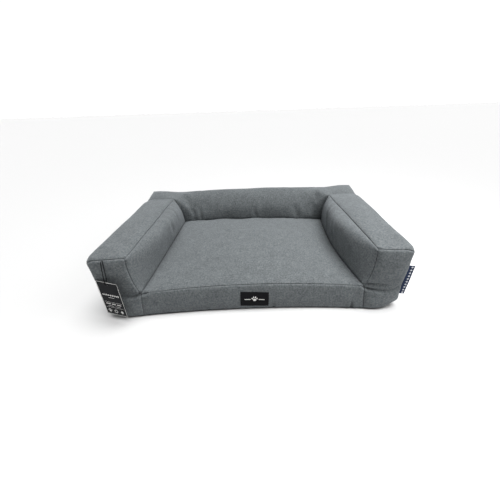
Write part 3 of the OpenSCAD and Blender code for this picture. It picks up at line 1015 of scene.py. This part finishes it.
class Marks:
    """Generic flat marks on a label: shapes in the label's own plane, lifted a little off it."""

    LIFT = 0.00012

    def __init__(self):
        self.shapes = []

    def rule(self, x, z, width, height, pieces=1):
        for k in range(pieces):
            a, b = x - width / 2 + width * k / pieces, x - width / 2 + width * (k + 1) / pieces
            self.shapes.append([(a, z - height / 2), (b, z - height / 2), (b, z + height / 2),
                                (a, z + height / 2)])

    def lozenge(self, x, z, width, height):
        self.shapes.append([(x - width / 2, z), (x, z - height / 2), (x + width / 2, z),
                            (x, z + height / 2)])

    def disc(self, x, z, rx, rz, turn=0.0, sides=14):
        c, s = math.cos(turn), math.sin(turn)
        angles = [2 * math.pi * k / sides for k in range(sides)]
        self.shapes.append([(x + rx * math.cos(a) * c - rz * math.sin(a) * s,
                             z + rx * math.cos(a) * s + rz * math.sin(a) * c) for a in angles])

    def ring(self, x, z, radius, width, sides=20):
        for k in range(sides):
            a, b = 2 * math.pi * k / sides, 2 * math.pi * (k + 1) / sides
            inner = radius - width
            self.shapes.append([(x + r * math.cos(t), z + r * math.sin(t))
                                for r, t in ((inner, a), (radius, a), (radius, b), (inner, b))])

    def paw(self, x, z, size):
        self.disc(x, z - 0.16 * size, 0.30 * size, 0.24 * size)
        for at, up, turn in ((-0.42, 0.10, 0.5), (-0.16, 0.34, 0.15), (0.16, 0.34, -0.15),
                             (0.42, 0.10, -0.5)):
            self.disc(x + at * size, z + up * size, 0.11 * size, 0.16 * size, turn)

    def build(self, name, place, material):
        """place(x, z, lift) gives the point on the label at x, z and that far off its face."""
        verts, faces = [], []
        for shape in self.shapes:
            start, count = len(verts), len(shape)
            for lift in (0, self.LIFT):
                verts += [place(x, z, lift) for x, z in shape]
            faces.append(tuple(range(start + count, start + 2 * count)))
            faces.append(tuple(range(start + count - 1, start - 1, -1)))
            faces += [(start + k, start + (k + 1) % count, start + count + (k + 1) % count,
                       start + count + k) for k in range(count)]
        return add_mesh(name, verts, faces, material)


# ---- hang tag and its cord
TAG_PLACE = Vector((-0.354, FRONT - 0.021, 0.114))
TAG_YAW, TAG_LEAN = math.radians(18), math.radians(6)
TAG_W, TAG_H, TAG_T, TAG_HOLE_DROP = 0.066, 0.102, 0.0008, 0.008
TAG_BORDER = 0.0012
CORD_D = 0.0018
CORD_ROUTE = [(-0.3535, -0.2565, 0.171), (-0.3536, -0.2592, 0.1706), (-0.3538, -0.2622, 0.168),
              (-0.354, -0.265, 0.1625), (-0.3542, -0.2686, 0.153), (-0.3545, -0.2722, 0.142),
              (-0.3548, -0.2759, 0.131), (-0.3551, -0.2786, 0.123), (-0.3552, -0.2795, 0.1188),
              (-0.3548, -0.2784, 0.1158), (-0.354, -0.276, 0.1146), (-0.3532, -0.2736, 0.1158),
              (-0.3528, -0.2724, 0.1188), (-0.3526, -0.2715, 0.123), (-0.3522, -0.2694, 0.131),
              (-0.3518, -0.2666, 0.142), (-0.3514, -0.2637, 0.153), (-0.351, -0.2613, 0.162),
              (-0.3508, -0.26, 0.1673), (-0.3507, -0.2586, 0.170), (-0.3506, -0.2565, 0.171)]


def make_cord(material):
    data = bpy.data.curves.new("hang_tag_string", "CURVE")
    data.dimensions = "3D"
    data.bevel_depth = CORD_D / 2
    data.bevel_resolution = 3
    data.resolution_u = 6
    data.use_fill_caps = True
    spline = data.splines.new("BEZIER")
    spline.bezier_points.add(len(CORD_ROUTE) - 1)
    for point, place in zip(spline.bezier_points, CORD_ROUTE):
        point.co = place
        point.handle_left_type = point.handle_right_type = "AUTO"
    data.materials.append(material)
    obj = settle(put("hang_tag_string", data), "tag_loop", "tag_cord", "hang_tag_cord")


def tag_marks():
    """A border, a row of lozenges over a short rule, a framed row of dashes and three icons."""
    low, high = TAG_HOLE_DROP - TAG_H + TAG_BORDER, TAG_HOLE_DROP - TAG_BORDER
    side = TAG_W / 2 - TAG_BORDER
    marks = Marks()
    for z in (low, high):
        marks.rule(0, z, 2 * side, TAG_BORDER)
    for x in (-side, side):
        marks.rule(x, (low + high) / 2, TAG_BORDER, high - low)
    for k in range(9):
        marks.lozenge((k - 4) * 0.0058, -0.031, 0.0048, 0.0058)
    marks.rule(0, -0.0385, 0.018, 0.0009)
    for z in (-0.0535, -0.0700):
        marks.rule(0, z, 0.054, 0.0005)
    for x, width in ((-0.017, 0.014), (0, 0.012), (0.0165, 0.013)):
        marks.rule(x, -0.0590, width, 0.0024)
    for x, width in ((-0.0105, 0.018), (0.011, 0.016)):
        marks.rule(x, -0.0655, width, 0.0008)
    marks.paw(-0.019, -0.0815, 0.011)
    marks.ring(0, -0.0815, 0.0052, 0.0016)
    marks.lozenge(0.019, -0.0815, 0.0095, 0.0105)
    return marks


def make_hang_tag():
    turn = Matrix.Rotation(-TAG_YAW, 4, "Z") @ Matrix.Rotation(-TAG_LEAN, 4, "X")
    face = Matrix.Translation(TAG_PLACE) @ turn

    def place(x, z, lift):
        return face @ Vector((x, -TAG_T / 2 - lift, z))

    ink = plain("off_white_print", (0.80, 0.80, 0.78), (0.88, 0.88, 0.86), 900, 0.6)
    settle(tag_marks().build("hang_tag_print", place, ink), "tag", "printed_card")
    card = plain("black_card", (0.006, 0.007, 0.009), (0.010, 0.011, 0.014), 1200, 0.6, shine=0.12)
    dress_node("hang_tag", card)
    string = plain("black_braid", (0.004, 0.004, 0.005), (0.012, 0.012, 0.013), 2600, 0.9, bump=0.0004,
                   shine=0.1)
    make_cord(string)


def dress_node(node, material, bevel=0.0):
    """Gives a CAD node its finish, and breaks its sharp edges."""
    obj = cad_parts[node]
    obj.data.materials.clear()
    obj.data.materials.append(material)
    if bevel:
        edges = obj.modifiers.new("edges", "BEVEL")
        edges.width = bevel
        edges.segments = 2
        edges.limit_method = "ANGLE"


# ---- front label and side tab
LABEL_W, LABEL_H, LABEL_T = 0.076, 0.042, 0.0008
LABEL_X, LABEL_Z, LABEL_TILT = 0.004, 0.034, math.radians(-2.5)
LABEL_COLUMNS, LABEL_ROWS = 20, 12
STITCH_PITCH, STITCH_LENGTH, STITCH_R = 0.0030, 0.0021, 0.00022


def make_front_label(band):
    """The woven label lies on the bulging band, sewn down along its edge."""
    tree = BVHTree.FromPolygons([v.co for v in band.data.vertices],
                                [tuple(p.vertices) for p in band.data.polygons])

    def spot(u, v):
        x, z = u - LABEL_W / 2, v - LABEL_H / 2
        c, s = math.cos(LABEL_TILT), math.sin(LABEL_TILT)
        return LABEL_X + x * c - z * s, LABEL_Z + x * s + z * c

    def surface(u, v):
        x, z = spot(u, v)
        hits = [tree.ray_cast(Vector((x + dx, -0.4, z + dz)), Vector((0, 1, 0)))[0]
                for dx in (-0.004, 0, 0.004) for dz in (-0.003, 0, 0.003)]
        found = [hit.y for hit in hits if hit]
        return sum(found) / len(found)

    us, vs = np.linspace(0, LABEL_W, LABEL_COLUMNS), np.linspace(0, LABEL_H, LABEL_ROWS)
    heights = np.array([[surface(u, v) for v in vs] for u in us])

    def place(u, v, lift=0.0):
        i, j = np.interp(u, us, range(LABEL_COLUMNS)), np.interp(v, vs, range(LABEL_ROWS))
        a, b = min(int(i), LABEL_COLUMNS - 2), min(int(j), LABEL_ROWS - 2)
        s, t = i - a, j - b
        y = ((1 - s) * ((1 - t) * heights[a, b] + t * heights[a, b + 1])
             + s * ((1 - t) * heights[a + 1, b] + t * heights[a + 1, b + 1]))
        edge = min(u, LABEL_W - u, v, LABEL_H - v)
        x, z = spot(u, v)
        return x, y - LABEL_T - 0.0004 * float(ease(edge / 0.003)) - lift, z

    black = woven("black_damask", (0.005, 0.005, 0.006), (0.012, 0.012, 0.014), 0.0009)
    label = strip("front_label_weave", place, LABEL_W, LABEL_H, (48, 28), LABEL_T, black)
    settle(label, "bed", "woven_label", "front_label")
    thread = plain("off_white_thread", (0.68, 0.68, 0.66), (0.82, 0.82, 0.80), 1500, 0.8)
    marks = Marks()
    marks.paw(LABEL_W / 2, LABEL_H / 2 + 0.001, 0.015)
    for side in (-1, 1):
        marks.rule(LABEL_W / 2 + side * 0.0190, LABEL_H / 2, 0.0160, 0.0020, 8)
    settle(marks.build("front_label_motif", place, thread), "bed", "woven_label")
    sewing = stitches("front_label_stitches", edge_run(LABEL_W, LABEL_H, 0.0016), place, black)
    settle(sewing, "bed", "woven_label")


def edge_run(width, height, inset):
    """Stitch ends around a label: pairs of points in its plane."""
    pairs = []
    for k in range(int((width - 2 * inset) / STITCH_PITCH)):
        u = inset + k * STITCH_PITCH
        pairs += [((u, v), (u + STITCH_LENGTH, v)) for v in (inset, height - inset)]
    for k in range(int((height - 2 * inset) / STITCH_PITCH)):
        v = inset + k * STITCH_PITCH
        pairs += [((u, v), (u, v + STITCH_LENGTH)) for u in (inset, width - inset)]
    return pairs


def stitches(name, pairs, place, material):
    """Short threads that arch over the cloth between their two ends."""
    verts, faces = [], []
    for a, b in pairs:
        start = len(verts)
        a, b = np.array(a), np.array(b)
        across = np.array([-(b - a)[1], (b - a)[0]]) / np.linalg.norm(b - a) * STITCH_R
        for t, lift, wide in ((0, -0.1, 0.5), (0.25, 1.4, 1), (0.75, 1.4, 1), (1, -0.1, 0.5)):
            middle = a + (b - a) * t
            verts += [place(*(middle - across * wide), 0.0), place(*middle, STITCH_R * lift),
                      place(*(middle + across * wide), 0.0)]
        for k in range(3):
            at = start + 3 * k
            faces += [(at, at + 3, at + 4, at + 1), (at + 1, at + 4, at + 5, at + 2),
                      (at, at + 2, at + 5, at + 3)]
        faces += [(start, start + 1, start + 2), (start + 11, start + 10, start + 9)]
    return add_mesh(name, verts, faces, material, smooth=True)


TAB_LO, TAB_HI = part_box("side_tab")
RIBBON_T, TAB_DROOP, TAB_MARK = 0.0006, 0.16, (0.0066, 0.0064)


def make_side_tab():
    """A ribbon folded double, with its two ends in the seam and its fold outwards."""
    half = (TAB_HI.y - TAB_LO.y - RIBBON_T) / 2
    reach = TAB_HI.x - TAB_LO.x - half
    middle = (TAB_LO.y + TAB_HI.y) / 2
    height = TAB_HI.z - TAB_LO.z
    around = 2 * reach + math.pi * half

    def section(u):
        if u < reach:
            return TAB_LO.x + u, middle - half
        if u > reach + math.pi * half:
            return TAB_LO.x + around - u, middle + half
        turn = (u - reach) / half
        return TAB_LO.x + reach + half * math.sin(turn), middle - half * math.cos(turn)

    def place(u, v):
        x, y = section(u)
        out = (x - TAB_LO.x) / (TAB_HI.x - TAB_LO.x)
        wave = 0.0003 * math.sin(9 * v / height) * out
        return x, y + wave, TAB_LO.z + v - TAB_DROOP * (x - TAB_LO.x) * (0.6 + 0.4 * v / height)

    navy = woven("navy_ribbon", (0.022, 0.032, 0.068), (0.036, 0.048, 0.092), 0.0010)
    ribbon = strip("side_tab_ribbon", place, around, height, (26, 40), RIBBON_T, navy)
    settle(ribbon, "tab", "woven_tab", "side_tab")
    thread = plain("tab_thread", (0.55, 0.57, 0.62), (0.68, 0.70, 0.74), 1500, 0.8)
    marks = Marks()
    for k in range(10):
        marks.lozenge(reach * 0.62, height * (k + 0.5) / 10, *TAB_MARK)

    def on_face(side):
        def lifted(x, z, lift):
            at = place(x, z) if side < 0 else place(around - x, z)
            return at[0], at[1] + side * (lift + 0.00002), at[2]
        return lifted

    for side, word in ((-1, "front"), (1, "back")):
        settle(marks.build("side_tab_motif_" + word, on_face(side), thread), "tab", "woven_tab")


# ---- zip
COIL_LO, COIL_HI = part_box("zip_coils")
COIL_PITCH, COIL_WIRE, COIL_SIDES, COIL_STEPS = 0.0016, 0.00036, 5, 10
COIL_GAP, METAL_EDGE, TAPE_INSET = 0.0006, 0.0003, 0.00015


def coil(low, high):
    """A wound nylon coil between two heights, flattened like the real one."""
    half_y = (COIL_HI.y - COIL_LO.y) / 2 - COIL_WIRE
    half_z = (high - low) / 2 - COIL_WIRE
    middle = Vector((0, (COIL_LO.y + COIL_HI.y) / 2, (low + high) / 2))
    turns = int((COIL_HI.x - COIL_LO.x) / COIL_PITCH) - 1
    count = turns * COIL_STEPS
    t = 2 * math.pi * np.arange(count) / COIL_STEPS
    path = np.stack([COIL_LO.x + COIL_PITCH * (0.5 + t / (2 * math.pi)),
                     middle.y + half_y * np.cos(t), middle.z + half_z * np.sin(t)], axis=1)
    out = np.stack([np.zeros(count), np.cos(t), np.sin(t)], axis=1)
    along = np.array([1.0, 0, 0])
    angles = 2 * math.pi * np.arange(COIL_SIDES) / COIL_SIDES
    verts = (path[:, None] + COIL_WIRE * (np.cos(angles)[None, :, None] * out[:, None]
                                          + np.sin(angles)[None, :, None] * along)).reshape(-1, 3)
    rows = np.arange(count - 1)[:, None] * COIL_SIDES
    k = np.arange(COIL_SIDES)[None]
    after = (k + 1) % COIL_SIDES
    faces = np.stack([rows + k, rows + after, rows + COIL_SIDES + after, rows + COIL_SIDES + k],
                     axis=2).reshape(-1, 4)
    return verts, faces


def make_zip():
    nylon = plain("zip_nylon", (0.035, 0.040, 0.044), (0.055, 0.060, 0.066), 700, 0.4)
    middle = (COIL_LO.z + COIL_HI.z) / 2
    low_verts, faces = coil(COIL_LO.z, middle - COIL_GAP)
    high_verts, _ = coil(middle + COIL_GAP, COIL_HI.z)
    verts = np.concatenate([low_verts, high_verts])
    both = np.concatenate([faces, faces + len(low_verts)]).tolist()
    settle(add_mesh("zip_coil_turns", verts, both, nylon, smooth=True), "bed", "zip_coil", "zip_coils")
    tape = woven("zip_tape_weave", (0.045, 0.050, 0.056), (0.066, 0.072, 0.079), 0.0012)
    for node in ("upper_zip_tape", "lower_zip_tape"):
        make_tape(node, tape)
    metal = plain("gunmetal", (0.26, 0.27, 0.28), (0.36, 0.37, 0.38), 400, 0.32, 1.0, 0.00004)
    for node in ("zip_slider", "zip_pull", "zip_stops"):
        dress_node(node, metal, METAL_EDGE)


def make_tape(node, material):
    low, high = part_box(node)

    def place(u, v):
        ripple = 0.00012 * math.sin(u * 310) * math.sin(math.pi * v / (high.z - low.z))
        return high.x - u, high.y - TAPE_INSET + ripple, low.z + v

    tape = strip(node + "_weave", place, high.x - low.x, high.z - low.z, (334, 6),
                 high.y - low.y - 2 * TAPE_INSET, material)
    settle(tape, "bed", "zip_tape", node)


# ---- what is inside, and the grip dots
COVER_GAP = 0.006
WAY_OUT = Vector((0.137, 0.291, 0.947)).normalized()
JUST_PAST = 0.00002


def is_inside(place, cover):
    """Counts the cover's faces met on the way out: an odd number means that the place is inside."""
    crossed = 0
    spot = cover.ray_cast(place, WAY_OUT)[0]
    while spot is not None:
        crossed += 1
        spot = cover.ray_cast(spot + WAY_OUT * JUST_PAST, WAY_OUT)[0]
    return crossed % 2 == 1


def moved_inside(place, cover):
    """The place itself, or one inside the cover and at least the gap away from it."""
    for _ in range(3):
        spot, normal, _, away = cover.find_nearest(place)
        inside = is_inside(place, cover)
        if inside and away >= COVER_GAP:
            return place
        way = place - spot if inside else spot - place
        way = way.normalized() if away > 0.00001 else -normal
        place = spot + way * COVER_GAP * 1.02
    return place


# Each filling: node, name's end, slot, voxel, rounding passes, inset and lumps. Sizes in metres.
ARM_FILLING = ("_fibre", "fibre_fill", 0.007, 14, 0.004, 0.0015)
FILLINGS = [("left_arm_fill", *ARM_FILLING), ("right_arm_fill", *ARM_FILLING),
            ("back_bolster_fill", *ARM_FILLING),
            ("seat_wadding", "_fibre", "fibre_fill", 0.004, 4, 0.0012, 0.0004),
            ("base_foam", "_slab", "foam", 0.006, 3, 0.002, 0.0)]
LUMP_SIZE, LUMP_SEED = 0.05, 5.0


def soft_copy(node, name, cell, passes, inset, lumps, cover):
    """A stuffed or foam piece inside the cover: the CAD solid's shape, rounded, lumpy, a bit smaller."""
    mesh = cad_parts[node].data.copy()
    mesh.transform(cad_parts[node].matrix_world)
    obj = put(name, mesh)
    remesh = obj.modifiers.new("cells", "REMESH")
    remesh.mode = "VOXEL"
    remesh.voxel_size = cell
    rounding = obj.modifiers.new("round", "SMOOTH")
    rounding.iterations = passes
    obj.data = baked(obj)
    bpy.data.meshes.remove(mesh)
    places, normals = read(obj.data.vertices, "co", 3), read(obj.data.vertices, "normal", 3)
    places += normals * (lumps * grain(places, LUMP_SIZE, LUMP_SEED) - inset)[:, None]
    write(obj.data.vertices, "co", [moved_inside(Vector(p), cover) for p in places])
    obj.data.polygons.foreach_set("use_smooth", [True] * len(obj.data.polygons))
    return obj


def make_fillings(cover):
    finish = {"fibre_fill": plain("white_fibre", (0.70, 0.70, 0.68), (0.86, 0.86, 0.84), 500, 0.95,
                                  bump=0.0012),
              "foam": plain("cream_foam", (0.66, 0.58, 0.38), (0.82, 0.74, 0.52), 1400, 0.9,
                            bump=0.0006)}
    for node, ending, slot, cell, passes, inset, lumps in FILLINGS:
        piece = soft_copy(node, node + ending, cell, passes, inset, lumps, cover)
        piece.data.materials.clear()
        piece.data.materials.append(finish[slot])
        settle(piece, "bed", slot, node)


LINING_EDGE, LINING_SCOOP, LINING_T = 0.002, 0.012, 0.0005


def make_lining():
    low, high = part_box("deck_lining")
    width, depth = high.x - low.x, high.y - low.y

    def place(u, v):
        """Kept clear of the cover's edges, and scooped with the front band."""
        x = low.x + u
        scoop = LINING_SCOOP * max(0.0, 1 - (x / SEAM_X) ** 2)
        y = low.y + LINING_EDGE + scoop + (depth - 2 * LINING_EDGE - scoop) * v / depth
        z = (low.z + high.z) / 2 + 0.0004 * noise.noise((x * 14, y * 14, 3))
        return x * (1 - LINING_EDGE / high.x), y, z

    grey = plain("grey_lining", (0.30, 0.31, 0.32), (0.40, 0.41, 0.42), 900, 0.9)
    lining = strip("deck_lining_cloth", place, width, depth, (72, 48), LINING_T, grey)
    settle(lining, "bed", "lining", "deck_lining")


DOT_PITCH, DOT_R, DOT_SIDES, DOT_MARGIN, DOT_EDGE = 0.016, 0.0022, 8, 0.03, 0.025
DOT_RINGS = [(DOT_R, FLOOR_GAP + 0.0002), (DOT_R * 0.8, 0.0002), (DOT_R * 0.4, 0.0)]


def make_grip_dots():
    """Rows of small rubber dots printed on the base cloth."""
    verts, faces = [], []
    across, deep = (int((half - DOT_MARGIN) / DOT_PITCH) for half in (HALF_W, REAR))
    angles = [2 * math.pi * k / DOT_SIDES for k in range(DOT_SIDES)]
    places = [((i + 0.5 * (j % 2)) * DOT_PITCH, j * DOT_PITCH)
              for i in range(-across, across + 1) for j in range(-deep, deep + 1)]
    for x, y in places:
        if abs(x) > HALF_W - DOT_EDGE:
            continue
        start = len(verts)
        for radius, z in DOT_RINGS:
            verts += [(x + radius * math.cos(a), y + radius * math.sin(a), z) for a in angles]
        for at in (start, start + DOT_SIDES):
            faces += [(at + k, at + (k + 1) % DOT_SIDES, at + DOT_SIDES + (k + 1) % DOT_SIDES,
                       at + DOT_SIDES + k) for k in range(DOT_SIDES)]
        faces.append(tuple(range(start + 2 * DOT_SIDES, start + 3 * DOT_SIDES)))
        faces.append(tuple(start + k for k in reversed(range(DOT_SIDES))))
    rubber = plain("grip_rubber", (0.010, 0.010, 0.011), (0.018, 0.018, 0.019), 800, 0.55)
    settle(add_mesh("base_grip_dots", verts, faces, rubber), "bed", "non_slip_base")


make_camera()
make_hang_tag()
make_stage()
cover_surface = make_cover()
make_front_label(bpy.data.objects["front_band_cloth"])
make_side_tab()
make_zip()
make_fillings(cover_surface)
make_lining()
make_grip_dots()
